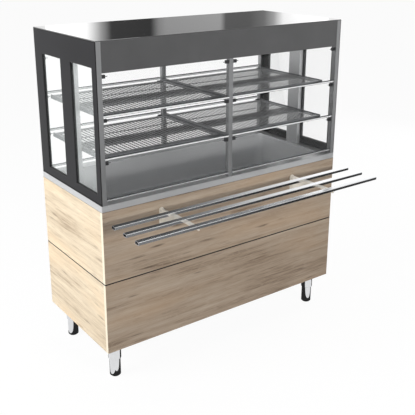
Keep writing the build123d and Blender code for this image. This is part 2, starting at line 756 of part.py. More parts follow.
# Tray slide: three hollow rails on two brackets
rail_ys = [-(rail_first + rail * rail_pitch) for rail in range(rail_count)]
with BuildPart() as tray_rails:
    for y in rail_ys:
        block((-half, half), (y - rail_width / 2, y + rail_width / 2), (rail_bottom, rail_top))
    fillet(tray_rails.edges().filter_by(Axis.X), 2)
    for y in rail_ys:
        block((-half - 1, half + 1), (y - rail_width / 2 + rail_wall, y + rail_width / 2 - rail_wall),
              (rail_bottom + rail_wall, rail_top - rail_wall), Mode.SUBTRACT)
finish(tray_rails, "tray_rails")

arm_end = rail_ys[-1] - rail_width / 4
plate_top = rail_bottom + bracket_head
flange_start = -(rail_first - rail_width)
with BuildPart() as tray_brackets:
    for side in (-1, 1):
        x = side * bracket_x
        with BuildSketch(Plane.XZ.offset(-front_y)):
            with Locations((x, plate_top - bracket_plate_height / 2)):
                RectangleRounded(bracket_width + 2, bracket_plate_height, bracket_width / 2)
        extrude(amount=bracket_plate_thickness)
        block((x - bracket_width / 2, x + bracket_width / 2), (arm_end, flange_start),
              (rail_bottom - bracket_head, rail_bottom))
        with BuildSketch(Plane.YZ.offset(x - bracket_web / 2)):
            with BuildLine():
                Polyline((front_y - bracket_plate_thickness, rail_bottom),
                         (front_y - bracket_plate_thickness, rail_bottom - bracket_web_height),
                         (front_y - 2 * bracket_plate_thickness, rail_bottom - bracket_web_height),
                         (front_y - bracket_taper_end, rail_bottom - bracket_tip_height),
                         (front_y + arm_end, rail_bottom - bracket_tip_height),
                         (front_y + arm_end, rail_bottom), close=True)
            make_face()
        extrude(amount=bracket_web)
finish(tray_brackets, "tray_brackets")

# Screws: bracket plates, service grille, control panel and rear panel
with BuildPart() as screws:
    for side in (-1, 1):
        for offset_x in (-8, 8):
            along_y(side * bracket_x + offset_x, (-bracket_plate_thickness - screw_head_height,
                    -bracket_plate_thickness), plate_top - bracket_screw_drop, bracket_screw)
    for x in (-1, 0, 1):
        for z in (-1, 1):
            along_y(grille_x + x * (grille_length / 2 - screw_inset),
                    (rear_face + sheet, rear_face + sheet + screw_head_height),
                    grille_z + z * (grille_height / 2 - screw_inset), screw_head)
    for x in (-1, 1):
        for z in (-1, 1):
            along_y(control_x + x * (control_length / 2 - screw_inset),
                    (rear_face + sheet, rear_face + sheet + screw_head_height),
                    control_z + z * (control_height / 2 - screw_inset), screw_head)
            along_y(x * (frame_half - panel_screw_inset), (rear_face, rear_face + screw_head_height),
                    (leg_height + panel_top) / 2 + z * panel_screw_spread, screw_head)
finish(screws, "screws")
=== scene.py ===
import bpy
import json
import math
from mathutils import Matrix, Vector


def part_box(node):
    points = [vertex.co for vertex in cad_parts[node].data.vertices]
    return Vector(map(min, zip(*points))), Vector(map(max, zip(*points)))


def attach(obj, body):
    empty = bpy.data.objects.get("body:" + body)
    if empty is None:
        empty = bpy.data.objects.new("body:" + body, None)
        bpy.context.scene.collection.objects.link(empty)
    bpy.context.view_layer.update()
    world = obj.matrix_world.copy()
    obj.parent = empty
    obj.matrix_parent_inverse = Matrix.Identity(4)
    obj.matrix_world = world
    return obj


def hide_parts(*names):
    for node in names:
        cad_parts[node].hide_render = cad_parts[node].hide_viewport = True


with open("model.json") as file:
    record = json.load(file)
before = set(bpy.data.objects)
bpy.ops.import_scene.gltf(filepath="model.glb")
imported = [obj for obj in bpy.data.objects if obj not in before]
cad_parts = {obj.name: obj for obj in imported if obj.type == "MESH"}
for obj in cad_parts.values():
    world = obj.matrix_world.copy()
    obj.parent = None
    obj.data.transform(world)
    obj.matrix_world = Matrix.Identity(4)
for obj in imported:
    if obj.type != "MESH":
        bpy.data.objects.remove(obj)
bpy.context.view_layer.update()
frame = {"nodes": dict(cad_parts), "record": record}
print("frame loaded:", len(frame["nodes"]), "nodes")


def plainColour(red, green, blue):
    # screen values 0-255 to the scene's linear colour
    def linear(value):
        value = value / 255
        return value / 12.92 if value <= 0.04045 else ((value + 0.055) / 1.055) ** 2.4
    return (linear(red), linear(green), linear(blue), 1.0)


class Wire:
    # one output socket, with sums written as plain expressions
    def __init__(self, board, holder, socket):
        self.board, self.holder, self.socket = board, holder, socket

    def pick(self, name):
        return Wire(self.board, self.holder, self.holder.outputs[name])

    def maths(self, operation, first, second=0.0):
        return self.board.node("ShaderNodeMath", {"operation": operation}, {0: first, 1: second})

    def __add__(self, other):
        return self.maths("ADD", self, other)

    def __radd__(self, other):
        return self.maths("ADD", other, self)

    def __sub__(self, other):
        return self.maths("SUBTRACT", self, other)

    def __rsub__(self, other):
        return self.maths("SUBTRACT", other, self)

    def __mul__(self, other):
        return self.maths("MULTIPLY", self, other)

    def __truediv__(self, other):
        return self.maths("DIVIDE", self, other)

    def __gt__(self, other):
        return self.maths("GREATER_THAN", self, other)

    def __lt__(self, other):
        return self.maths("LESS_THAN", self, other)

    def __abs__(self):
        return self.maths("ABSOLUTE", self)

    def pingPong(self, width):
        return self.maths("PINGPONG", self, width)

    def larger(self, other):
        return self.maths("MAXIMUM", self, other)

    def clamped(self):
        return self.maths("MINIMUM", self.larger(0.0), 1.0)

    def between(self, low, high):
        # 0 below low, 1 above high, straight in between
        return ((self - low) / (high - low)).clamped()


class Board:
    # a node tree that is filled through one method
    def __init__(self, tree):
        self.tree = tree

    def node(self, kind, settings=None, sockets=None, out=0):
        made = self.tree.nodes.new(kind)
        for key, value in (settings or {}).items():
            if key == "stops":
                elements = made.color_ramp.elements
                while len(elements) < len(value):
                    elements.new(0.5)
                for element, (place, colour) in zip(elements, value):
                    element.position, element.color = place, colour
            else:
                setattr(made, key, value)
        for key, value in (sockets or {}).items():
            for part in value if isinstance(value, list) else [value]:
                if isinstance(part, Wire):
                    self.tree.links.new(part.socket, made.inputs[key])
                else:
                    made.inputs[key].default_value = part
        return Wire(self, made, made.outputs[out] if made.outputs else None)


class Finish(Board):
    # a material's node tree, painted in the object's own coordinates
    def __init__(self, name):
        self.material = bpy.data.materials.new(name)
        self.material.use_nodes = True
        self.material.node_tree.nodes.clear()
        super().__init__(self.material.node_tree)
        self.place = self.node("ShaderNodeTexCoord").pick("Object")
        split = self.node("ShaderNodeSeparateXYZ", {}, {0: self.place})
        self.x, self.y, self.z = split.pick("X"), split.pick("Y"), split.pick("Z")

    def stretched(self, stretch):
        if stretch is None:
            return self.place
        return self.node("ShaderNodeVectorMath", {"operation": "MULTIPLY"},
                         {0: self.place, 1: tuple(stretch)})

    def noise(self, scale, detail, rough, stretch=None, warp=0.0):
        return self.node("ShaderNodeTexNoise", {}, {
            "Vector": self.stretched(stretch), "Scale": scale, "Detail": detail,
            "Roughness": rough, "Distortion": warp})

    def cells(self, scale, stretch=None, out="Distance"):
        return self.node("ShaderNodeTexVoronoi", {}, {
            "Vector": self.stretched(stretch), "Scale": scale}).pick(out)

    def ramp(self, fac, stops):
        return self.node("ShaderNodeValToRGB", {"stops": stops}, {"Fac": fac})

    def mix(self, fac, first, second):
        return self.node("ShaderNodeMix", {"data_type": "RGBA"}, {0: fac, 6: first, 7: second}, out=2)

    def bump(self, height, strength, distance):
        return self.node("ShaderNodeBump", {}, {"Height": height, "Strength": strength,
                                                "Distance": distance})

    def surface(self, sockets):
        shader = self.node("ShaderNodeBsdfPrincipled", {}, sockets)
        self.node("ShaderNodeOutputMaterial", {}, {"Surface": shader})
        return self.material


# Oak decor laminate, grain along the board. Shares are weights, ranges are where a mask starts and ends
oakSettings = {
    "dark": (140, 117, 94), "middle": (184, 162, 138), "pale": (208, 189, 166), "warm": (196, 158, 118),
    "knot": (92, 72, 56), "edgeBand": (222, 211, 190), "shadowGap": (20, 18, 16),
    "roughness": 0.44, "fibreRough": 0.12, "bump": 0.10, "bumpDepth": 0.0005,
    "across": 75.0, "along": 1.6, "jointHalf": 0.0032, "topGap": 0.0016, "bandFrom": 0.74925,
    "cloudShare": 0.32, "streakShare": 0.46, "fibreShare": 0.22, "figureRange": (0.38, 0.62),
    "middleStop": 0.38, "warmRange": (0.50, 0.66), "warmShare": 0.35,
    "ringCount": 34.0, "ringRange": (0.36, 0.50), "ringShare": 0.26,
    "poreRange": (0.58, 0.70), "poreShare": 0.42,
    "dashRange": (0.03, 0.22), "dashFibres": 0.30, "dashStreaks": 0.25,
    "chanceScale": 3.4, "chanceRange": (0.46, 0.60),
}


def oakLaminate(name, along, lightShadeTone, knots):
    finish = Finish(name)
    settings = oakSettings
    axis = "xyz".index(along)

    def grain(acrossShare, alongShare):
        stretch = [settings["across"] * acrossShare] * 3
        stretch[axis] = settings["along"] * alongShare
        return stretch

    # every oak colour is scaled by the tone: painted light on the side panels, painted shade on the front boards
    def withPaintedLight(key):
        red, green, blue, full = plainColour(*settings[key])
        return (red * lightShadeTone[0], green * lightShadeTone[1], blue * lightShadeTone[2], full)

    clouds = finish.noise(1.0, 2.0, 0.5, grain(0.07, 0.8))
    streaks = finish.noise(1.0, 5.0, 0.66, grain(0.5, 0.9), 0.4)
    fibres = finish.noise(1.0, 3.0, 0.6, grain(3.2, 6.0))
    figure = (clouds * settings["cloudShare"] + streaks * settings["streakShare"]
              + fibres * settings["fibreShare"]).between(*settings["figureRange"])
    colour = finish.ramp(figure, [(0.0, withPaintedLight("dark")), (settings["middleStop"], withPaintedLight("middle")),
                                  (1.0, withPaintedLight("pale"))])
    colour = finish.mix(clouds.between(*settings["warmRange"]) * settings["warmShare"], colour,
                        withPaintedLight("warm"))

    rings = finish.noise(1.0, 1.5, 0.5, grain(0.13, 0.75), 0.6)
    ringLines = abs((rings * settings["ringCount"]).pingPong(1.0) - 0.5).between(*settings["ringRange"])
    colour = finish.mix(ringLines * settings["ringShare"], colour, withPaintedLight("pale"))
    pores = finish.noise(1.0, 2.0, 0.5, grain(5.0, 7.0)).between(*settings["poreRange"])
    colour = finish.mix(pores * settings["poreShare"], colour, withPaintedLight("dark"))

    spots = (finish.cells(1.0, grain(0.40, 2.4)) + (fibres - 0.5) * settings["dashFibres"]
             + (streaks - 0.5) * settings["dashStreaks"])
    chance = finish.noise(settings["chanceScale"], 2.0, 0.5).between(*settings["chanceRange"])
    dashes = (1.0 - spots.between(*settings["dashRange"])) * chance * knots
    colour = finish.mix(dashes, colour, withPaintedLight("knot"))

    # pale band on the board's ends; black in the joint and under the worktop: the dark joints widened with
    # painted shadow on the board edges beside them
    if along == "x":
        ends = abs(finish.x) > settings["bandFrom"]
        colour = finish.mix(ends, colour, plainColour(*settings["edgeBand"]))
    shadow = plainColour(*settings["shadowGap"])
    joint = (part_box("front_panel_lower")[1][2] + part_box("front_panel_upper")[0][2]) / 2
    colour = finish.mix(abs(finish.z - joint) < settings["jointHalf"], colour, shadow)
    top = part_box("front_panel_upper")[1][2]
    colour = finish.mix(finish.z > top - settings["topGap"], colour, shadow)
    return finish.surface({
        "Base Color": colour,
        "Roughness": settings["roughness"] + (fibres - 0.5) * settings["fibreRough"],
        "Normal": finish.bump(fibres * 0.6 + pores * -0.4, settings["bump"], settings["bumpDepth"])})


# Metals: brushed sheet, polished tube, profiles, plated parts
metalSettings = {
    "brushedSteel": {"colour": (196, 197, 198), "roughness": 0.30, "stretch": (4, 260, 260),
                     "bump": 0.05, "metal": 0.5},
    # the well's steel, lighter and less metallic than the worktop's: painted light in the well
    "wellSteel": {"colour": (216, 217, 218), "roughness": 0.34, "stretch": (4, 220, 220),
                  "bump": 0.04, "metal": 0.35},
    "railSteel": {"colour": (222, 223, 225), "roughness": 0.14, "stretch": (4, 260, 260),
                  "bump": 0.01, "metal": 1.0},
    # the bracket steel painted pale ivory and barely metallic: painted reflection of the bright surroundings
    "bracketSteel": {"colour": (236, 230, 219), "roughness": 0.30, "stretch": (60, 60, 60),
                     "bump": 0.02, "metal": 0.35},
    "shelfSteel": {"colour": (122, 124, 126), "roughness": 0.36, "stretch": (4, 220, 220),
                   "bump": 0.04, "metal": 0.8},
    # the holed part of the shelf sheet, painted much darker than the plain strips of the same sheet: painted
    # shade
    "perforatedSteel": {"colour": (46, 47, 48), "roughness": 0.42, "stretch": (4, 220, 220),
                        "bump": 0.04, "metal": 0.8},
    # the shelves' hole walls, painted near white: painted highlight on the cut edges
    "cutEdge": {"colour": (244, 245, 246), "roughness": 0.30, "stretch": (60, 60, 60),
                "bump": 0.01, "metal": 0.2},
    "polishedSteel": {"colour": (226, 227, 229), "roughness": 0.06, "stretch": (90, 90, 30),
                      "bump": 0.001, "metal": 1.0},
    "aluminiumProfile": {"colour": (146, 147, 148), "roughness": 0.34, "stretch": (200, 200, 6),
                         "bump": 0.04, "metal": 0.75},
    "finAluminium": {"colour": (190, 192, 196), "roughness": 0.38, "stretch": (30, 30, 30),
                     "bump": 0.02, "metal": 0.9},
    "nickelPlate": {"colour": (196, 192, 182), "roughness": 0.18, "stretch": (60, 60, 60),
                    "bump": 0.02, "metal": 1.0},
    "copperTube": {"colour": (190, 122, 88), "roughness": 0.28, "stretch": (40, 40, 40),
                   "bump": 0.03, "metal": 1.0},
}
metalWear = {"stainScale": 5.0, "lineShare": 0.6, "stainShare": 0.4, "range": (0.3, 0.7), "darker": 0.86,
             "lineRough": 0.10, "stainRough": 0.06, "bumpDepth": 0.0004}


def metalFinish(name):
    settings, wear = metalSettings[name], metalWear
    finish = Finish(name)
    lines = finish.noise(1.0, 4.0, 0.65, settings["stretch"])
    stains = finish.noise(wear["stainScale"], 3.0, 0.5)
    base = plainColour(*settings["colour"])
    darker = tuple(channel * wear["darker"] for channel in base[:3]) + (1.0,)
    worn = (lines * wear["lineShare"] + stains * wear["stainShare"]).between(*wear["range"])
    return finish.surface({
        "Base Color": finish.mix(worn, darker, base),
        "Metallic": settings["metal"],
        "Roughness": (settings["roughness"] + (lines - 0.5) * wear["lineRough"]
                      + (stains - 0.5) * wear["stainRough"]),
        "Normal": finish.bump(lines, settings["bump"], wear["bumpDepth"])})


# Galvanised sheet: a spangle of flat crystals
galvanisedSettings = {"dull": (150, 154, 157), "bright": (184, 188, 190), "spangle": 60.0,
                      "roughness": 0.38, "spangleRough": 0.14, "metal": 0.9}


def galvanisedFinish():
    settings = galvanisedSettings
    finish = Finish("galvanisedSheet")
    spangle = finish.cells(settings["spangle"], out="Color")
    shade = finish.node("ShaderNodeSeparateColor", {}, {0: spangle}).pick("Red")
    colour = finish.mix(shade, plainColour(*settings["dull"]), plainColour(*settings["bright"]))
    return finish.surface({"Base Color": colour, "Metallic": settings["metal"],
                           "Roughness": settings["roughness"] + shade * settings["spangleRough"]})


# Coats, plastics and rubber: two close colours, a fine texture and a gloss
coatSettings = {
    # the reveal colour is painted shade: black on the frames' jambs, inner faces and edges, partly black gaskets
    "anthraciteCoat": {"colour": (30, 30, 32), "second": (35, 35, 37), "roughness": 0.42,
                       "grain": 900, "bump": 0.10, "coat": 0.0, "gloss": 0.10,
                       "paintedShadeReveal": (9, 9, 10), "trim": 0.004, "skin": 0.0008},
    # the end frames' anthracite painted lighter on the canopy: painted sheen of the fascia
    "canopyCoat": {"colour": (64, 64, 65), "second": (72, 72, 73), "roughness": 0.34,
                   "grain": 900, "bump": 0.06, "coat": 0.35},
    "topGloss": {"colour": (22, 22, 24), "second": (28, 28, 30), "roughness": 0.06,
                 "grain": 5, "bump": 0.0, "coat": 1.0},
    "blackRubber": {"colour": (22, 22, 23), "second": (34, 34, 35), "roughness": 0.72,
                    "grain": 500, "bump": 0.12, "coat": 0.0},
    "blackPlastic": {"colour": (26, 26, 28), "second": (38, 38, 40), "roughness": 0.46,
                     "grain": 1200, "bump": 0.10, "coat": 0.0},
    "opalDiffuser": {"colour": (236, 236, 232), "second": (244, 244, 240), "roughness": 0.5,
                     "grain": 300, "bump": 0.05, "coat": 0.0},
    "foamCasing": {"colour": (188, 180, 158), "second": (204, 196, 174), "roughness": 0.8,
                   "grain": 120, "bump": 0.3, "coat": 0.0},
    "blackEnamel": {"colour": (20, 20, 22), "second": (28, 28, 30), "roughness": 0.26,
                    "grain": 60, "bump": 0.05, "coat": 0.3},
}
coatWear = {"scale": 6.0, "share": 0.7, "grainShare": 0.3, "range": (0.35, 0.65), "rough": 0.06,
            "coatRoughness": 0.08, "gloss": 0.5, "bumpDepth": 0.0004}


def coatFinish(name):
    settings = coatSettings[name]
    finish = Finish(name)
    grain = finish.noise(settings["grain"], 2.0, 0.5)
    wear = finish.noise(coatWear["scale"], 3.0, 0.55)
    worn = (wear * coatWear["share"] + grain * coatWear["grainShare"]).between(*coatWear["range"])
    colour = finish.mix(worn, plainColour(*settings["colour"]), plainColour(*settings["second"]))
    if "paintedShadeReveal" in settings:
        # black inside the frames' outer skin and on their edges: black gaskets, with painted shade on the jambs
        # and inner faces
        frameLow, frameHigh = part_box("end_frames")
        trim = settings["trim"]
        shadedRevealMask = abs(finish.x) < frameHigh[0] - settings["skin"]
        for edge in (finish.y < frameLow[1] + trim, finish.y > frameHigh[1] - trim,
                     finish.z < frameLow[2] + trim * 2, finish.z > frameHigh[2] - trim):
            shadedRevealMask = shadedRevealMask.larger(edge)
        colour = finish.mix(shadedRevealMask, colour, plainColour(*settings["paintedShadeReveal"]))
    return finish.surface({
        "Base Color": colour, "Roughness": settings["roughness"] + (wear - 0.5) * coatWear["rough"],
        "Specular IOR Level": settings.get("gloss", coatWear["gloss"]),
        "Coat Weight": settings["coat"], "Coat Roughness": coatWear["coatRoughness"],
        "Normal": finish.bump(grain, settings["bump"], coatWear["bumpDepth"])})


# Clear panes and flaps: thin, nearly invisible face on, brighter along the edges; the flap lips carry a painted
# highlight with painted shade lines at their rims
clearSettings = {
    "blend": 0.25,
    "paneTint": (236, 242, 241), "paneAlpha": 0.03, "paneEdgeOn": 0.18, "paneDust": 0.01,
    "paneRoughness": 0.03, "paneDustRough": 0.02,
    "flapTint": (240, 243, 244), "flapAlpha": 0.012, "flapEdgeOn": 0.07,
    "flapRoughness": 0.05, "flapDustRough": 0.04, "lipRough": 0.08,
    "lip": 0.012, "lipHighlight": (250, 251, 252), "lipAlpha": {"lower": 0.30, "middle": 0.80, "upper": 0.80},
    "line": 0.0024, "lipEdgeShade": (70, 72, 75), "lineAlpha": 0.85,
}


def paneFinish():
    settings = clearSettings
    finish = Finish("clearPane")
    edgeOn = finish.node("ShaderNodeLayerWeight", {}, {"Blend": settings["blend"]}).pick("Fresnel")
    dust = finish.noise(14.0, 3.0, 0.5)
    alpha = settings["paneAlpha"] + edgeOn * settings["paneEdgeOn"] + (dust - 0.5) * settings["paneDust"]
    return finish.surface({"Base Color": plainColour(*settings["paneTint"]),
                           "Roughness": settings["paneRoughness"] + dust * settings["paneDustRough"],
                           "Alpha": alpha.clamped()})


def flapFinish():
    settings = clearSettings
    finish = Finish("clearFlap")
    edgeOn = finish.node("ShaderNodeLayerWeight", {}, {"Blend": settings["blend"]}).pick("Fresnel")
    dust = finish.noise(18.0, 3.0, 0.5)
    lipHighlightMask, lines, alpha = 0.0, 0.0, settings["flapAlpha"] + edgeOn * settings["flapEdgeOn"]
    # each lip band gets a painted highlight, with painted shade lines along its top and bottom rims
    for tier in ("lower", "middle", "upper"):
        height = finish.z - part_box("flap_front_" + tier + "_left")[0][2]
        band = (height > -0.001) * (height < settings["lip"])
        upperLine = (height > settings["lip"] - settings["line"]) * band
        lowerLine = (height < settings["line"]) * band
        lipHighlightMask, lines = band + lipHighlightMask, upperLine + lowerLine + lines
        alpha = alpha + band * settings["lipAlpha"][tier]
    alpha = alpha.larger(lines * settings["lineAlpha"])
    colour = finish.mix(lipHighlightMask, plainColour(*settings["flapTint"]), plainColour(*settings["lipHighlight"]))
    colour = finish.mix(lines, colour, plainColour(*settings["lipEdgeShade"]))
    roughness = settings["flapRoughness"] + dust * settings["flapDustRough"] + lipHighlightMask * settings["lipRough"]
    return finish.surface({"Base Color": colour, "Roughness": roughness, "Alpha": alpha.clamped()})


materials = {
    # the same oak decor twice: darkened on the front boards as painted shade, lightened on the side panels as
    # painted light
    "oakFront": oakLaminate("oakFront", "x", (0.68, 0.69, 0.71), 0.9),
    "oakSide": oakLaminate("oakSide", "y", (1.18, 1.27, 1.27), 1.0),
    "galvanisedSheet": galvanisedFinish(),
    "clearPane": paneFinish(),
    "clearFlap": flapFinish(),
}
for name in metalSettings:
    materials[name] = metalFinish(name)
for name in coatSettings:
    materials[name] = coatFinish(name)
print("finishes made:", len(materials))

# Which finish each CAD node wears: by its slot, unless the node has its own
finishOfSlot = {
    "oak_laminate": "oakFront", "stainless": "brushedSteel", "chrome_steel": "polishedSteel",
    "anthracite_metal": "anthraciteCoat", "aluminium_profile": "aluminiumProfile",
    "black_glass": "topGloss", "clear_glass": "clearPane", "clear_acrylic": "clearFlap",
    "black_rubber": "blackRubber", "black_plastic": "blackPlastic", "diffuser": "opalDiffuser",
    "galvanised": "galvanisedSheet", "foam_casing": "foamCasing", "copper": "copperTube",
    "black_enamel": "blackEnamel", "condenser_fins": "finAluminium", "nickel_brass": "nickelPlate",
}
finishOfNode = {
    "side_panels_lower": "oakSide", "side_panels_upper": "oakSide", "canopy": "canopyCoat",
    "tray_rails": "railSteel", "tray_brackets": "bracketSteel", "shelf_supports": "shelfSteel",
    "well": "wellSteel",
}
slotOfNode = {part["node"]: part["material_slot"] for part in frame["record"]["subparts"]}
for name, piece in frame["nodes"].items():
    chosen = finishOfNode.get(name, finishOfSlot[slotOfNode[name]])
    piece.data.materials.clear()
    piece.data.materials.append(materials[chosen])
print("CAD nodes painted")


class Growth(Board):
    # a Geometry Nodes tree with named sizes
    def __init__(self, name, sizes):
        tree = bpy.data.node_groups.new(name, "GeometryNodeTree")
        super().__init__(tree)
        tree.interface.new_socket("Geometry", in_out="OUTPUT", socket_type="NodeSocketGeometry")
        kinds = {int: "NodeSocketInt", float: "NodeSocketFloat", tuple: "NodeSocketVector"}
        for key, value in sizes.items():
            tree.interface.new_socket(key, in_out="INPUT", socket_type=kinds[type(value)])
        self.given = self.node("NodeGroupInput")
        self.sizes = sizes

    def size(self, name):
        return self.given.pick(name)

    def vector(self, x, y, z):
        return self.node("ShaderNodeCombineXYZ", {}, {0: x, 1: y, 2: z})

    def box(self, size, at):
        return self.moved(self.node("GeometryNodeMeshCube", {}, {"Size": size}), at)

    def moved(self, geometry, at):
        return self.node("GeometryNodeTransform", {}, {"Geometry": geometry, "Translation": at})

    def rectangle(self, width, height):
        return self.node("GeometryNodeCurvePrimitiveQuadrilateral", {"mode": "RECTANGLE"},
                         {"Width": width, "Height": height})

    def circle(self, sides, diameter):
        return self.node("GeometryNodeCurvePrimitiveCircle", {"mode": "RADIUS"},
                         {"Resolution": sides, "Radius": diameter * 0.5})

    def painted(self, geometry, material, chosen=True):
        return self.node("GeometryNodeSetMaterial", {}, {
            "Geometry": geometry, "Selection": chosen, "Material": material})

    def spots(self, width, depth, across, along):
        return self.node("GeometryNodeMeshGrid", {}, {
            "Size X": width, "Size Y": depth, "Vertices X": across, "Vertices Y": along})

    def placed(self, points, instance):
        return self.node("GeometryNodeInstanceOnPoints", {}, {"Points": points, "Instance": instance})

    def joined(self, parts):
        return self.node("GeometryNodeJoinGeometry", {}, {0: parts})

    def grown(self, parts, material=None):
        made = self.node("GeometryNodeRealizeInstances", {}, {0: self.joined(parts)})
        if material:
            made = self.painted(made, material)
        self.node("NodeGroupOutput", {}, {0: made})

    def piece(self, name, sizes, body, slotName):
        carrier = bpy.data.objects.new(name, bpy.data.meshes.new(name))
        bpy.context.scene.collection.objects.link(carrier)
        grower = carrier.modifiers.new("grow", "NODES")
        grower.node_group = self.tree
        for item in self.tree.interface.items_tree:
            if item.item_type == "SOCKET" and item.in_out == "INPUT":
                grower[item.identifier] = sizes.get(item.name, self.sizes[item.name])
        graph = bpy.context.evaluated_depsgraph_get()
        mesh = bpy.data.meshes.new_from_object(carrier.evaluated_get(graph), depsgraph=graph)
        carrier.modifiers.clear()
        carrier.data = mesh
        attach(carrier, body)
        return carrier


# Perforated shelf plates: a grid of holed cells with plain strips round it, folds and one stiffener
shelfSettings = {
    "Pitch": 0.0225, "Row pitch": 0.018, "Hole diameter": 0.0160, "Hole sides": 10, "Thickness": 0.001,
    "Columns": 29, "Rows": 27, "Length": 0.69, "Depth": 0.517, "Fold": 0.012,
    "Stiffener": 0.004, "Stiffener place": 0.2, "Middle": (0.0, 0.0, 0.0),
}
shelfEdges = 0.02
shelf = Growth("perforatedShelf", shelfSettings)
pitch, rowPitch, thick = shelf.size("Pitch"), shelf.size("Row pitch"), shelf.size("Thickness")
columns, rows = shelf.size("Columns"), shelf.size("Rows")

# one cell, without the outer walls it would share with its neighbours
hole = shelf.circle(shelf.size("Hole sides"), shelf.size("Hole diameter"))
cellFace = shelf.node("GeometryNodeFillCurve", {"mode": "TRIANGLES"},
                      {"Curve": shelf.joined([shelf.rectangle(pitch, rowPitch), hole])})
cellTop = shelf.node("GeometryNodeExtrudeMesh", {"mode": "FACES"},
                     {"Mesh": cellFace, "Offset Scale": thick, "Individual": False})
cellWalls = cellTop.pick("Side")
cellTop = shelf.painted(cellTop, materials["perforatedSteel"])
cellTop = shelf.painted(cellTop, materials["cutEdge"], cellWalls)
cellUnder = shelf.node("GeometryNodeFlipFaces", {}, {"Mesh": cellFace})
cellUnder = shelf.painted(cellUnder, materials["perforatedSteel"])
wallNormal = shelf.node("ShaderNodeSeparateXYZ", {}, {0: shelf.node("GeometryNodeInputNormal")})
outerWall = (abs(wallNormal.pick("X")) > 0.99) + (abs(wallNormal.pick("Y")) > 0.99)
cell = shelf.node("GeometryNodeDeleteGeometry", {"domain": "FACE"},
                  {"Geometry": shelf.joined([cellTop, cellUnder]), "Selection": outerWall})
wide, deep = pitch * columns, rowPitch * rows
holeSpots = shelf.spots(pitch * (columns - 1), rowPitch * (rows - 1), columns, rows)

length, depth, fold = shelf.size("Length"), shelf.size("Depth"), shelf.size("Fold")
sideStrip, frontStrip = (length - wide) * 0.5, (depth - deep) * 0.5
strips = []
for half in (-0.5, 0.5):
    strips.append(shelf.box(shelf.vector(sideStrip, depth, thick),
                            shelf.vector((length - sideStrip) * half, 0, thick * 0.5)))
    strips.append(shelf.box(shelf.vector(wide, frontStrip, thick),
                            shelf.vector(0, (depth - frontStrip) * half, thick * 0.5)))
    strips.append(shelf.box(shelf.vector(length, thick, fold - thick),
                            shelf.vector(0, (depth - thick) * half, (fold - thick) * -0.5)))
stiffener = shelf.size("Stiffener")
strips.append(shelf.box(shelf.vector(length - fold, stiffener, stiffener),
                        shelf.vector(0, depth * shelf.size("Stiffener place"), stiffener * -0.5)))
solidParts = shelf.painted(shelf.joined(strips), materials["shelfSteel"])
plate = shelf.joined([shelf.placed(holeSpots, cell), solidParts])
shelf.grown([shelf.moved(plate, shelf.size("Middle"))])
for name in ("shelf_lower_left", "shelf_lower_right", "shelf_upper_left", "shelf_upper_right"):
    low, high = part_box(name)
    sheetLow = high[2] - shelfSettings["Thickness"]
    across, along = high[0] - low[0], high[1] - low[1]
    made = shelf.piece("perforated_" + name, {
        "Length": across, "Depth": along,
        "Middle": ((low[0] + high[0]) / 2, (low[1] + high[1]) / 2, sheetLow),
        "Columns": int((across - shelfEdges) / shelfSettings["Pitch"]),
        "Rows": int((along - shelfEdges) / shelfSettings["Row pitch"])}, "counter", "stainless")
    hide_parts(name)
print("shelves perforated")

# Bead round the well: a bright pressed rim, inside the well's flange
rimSettings = {"Length": 1.356, "Depth": 0.53, "Corner": 0.052, "Bead": 0.0045, "Sides": 10,
               "Middle": (0.0, 0.0, 0.0)}
wellFlange = 0.012
rim = Growth("wellRim", rimSettings)
rounded = rim.node("GeometryNodeFilletCurve", {"mode": "POLY"}, {
    "Curve": rim.rectangle(rim.size("Length"), rim.size("Depth")), "Radius": rim.size("Corner"),
    "Count": rim.size("Sides"), "Limit Radius": True})
bead = rim.node("GeometryNodeCurveToMesh", {}, {
    "Curve": rounded, "Profile Curve": rim.circle(rim.size("Sides"), rim.size("Bead"))})
rim.grown([rim.moved(bead, rim.size("Middle"))], materials["polishedSteel"])
wellLow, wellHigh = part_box("well")
worktopEnd, _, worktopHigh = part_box("worktop")[1]
rim.piece("well_rim", {
    "Length": wellHigh[0] - wellLow[0] - wellFlange * 2,
    "Depth": wellHigh[1] - wellLow[1] - wellFlange * 2,
    "Middle": ((wellLow[0] + wellHigh[0]) / 2, (wellLow[1] + wellHigh[1]) / 2, worktopHigh),
}, "counter", "stainless")

# Black seals: behind the joint between the boards, and under the display ends
sealSettings = {"Size": (1.0, 1.0, 1.0), "Middle": (0.0, 0.0, 0.0)}
jointSeal = {"inset": 0.003, "depth": 0.016, "turn": 0.020, "backGap": 0.004}
displaySeal = {"inset": 0.0006, "depth": 0.002, "endGap": 0.001, "height": 0.004}
seal = Growth("sealStrip", sealSettings)
seal.grown([seal.box(seal.size("Size"), seal.size("Middle"))], materials["blackRubber"])


def sealBetween(name, low, high):
    seal.piece(name, {"Size": tuple(high[i] - low[i] for i in range(3)),
                      "Middle": tuple((high[i] + low[i]) / 2 for i in range(3))}, "counter", "black_rubber")


def sideSeal(name, side, settings, front, back, low, high):
    outer, inner = side * (worktopEnd - settings["inset"]), side * (worktopEnd - settings["depth"])
    sealBetween(name, (min(outer, inner), front, low), (max(outer, inner), back, high))


jointLow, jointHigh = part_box("front_panel_lower")[1][2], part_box("front_panel_upper")[0][2]
boardFront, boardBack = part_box("front_panel_lower")[0][1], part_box("side_panels_lower")[1][1]
sealEnd = worktopEnd - jointSeal["inset"]
sealBetween("joint_seal_front", (-sealEnd, boardFront + jointSeal["inset"], jointLow),
            (sealEnd, boardFront + jointSeal["depth"], jointHigh))
for side, name in ((-1, "left"), (1, "right")):
    sideSeal("joint_seal_" + name, side, jointSeal, boardFront + jointSeal["turn"],
             boardBack - jointSeal["backGap"], jointLow, jointHigh)
    sideSeal("display_seal_" + name, side, displaySeal, boardFront + displaySeal["endGap"],
             boardBack - displaySeal["endGap"], worktopHigh, worktopHigh + displaySeal["height"])

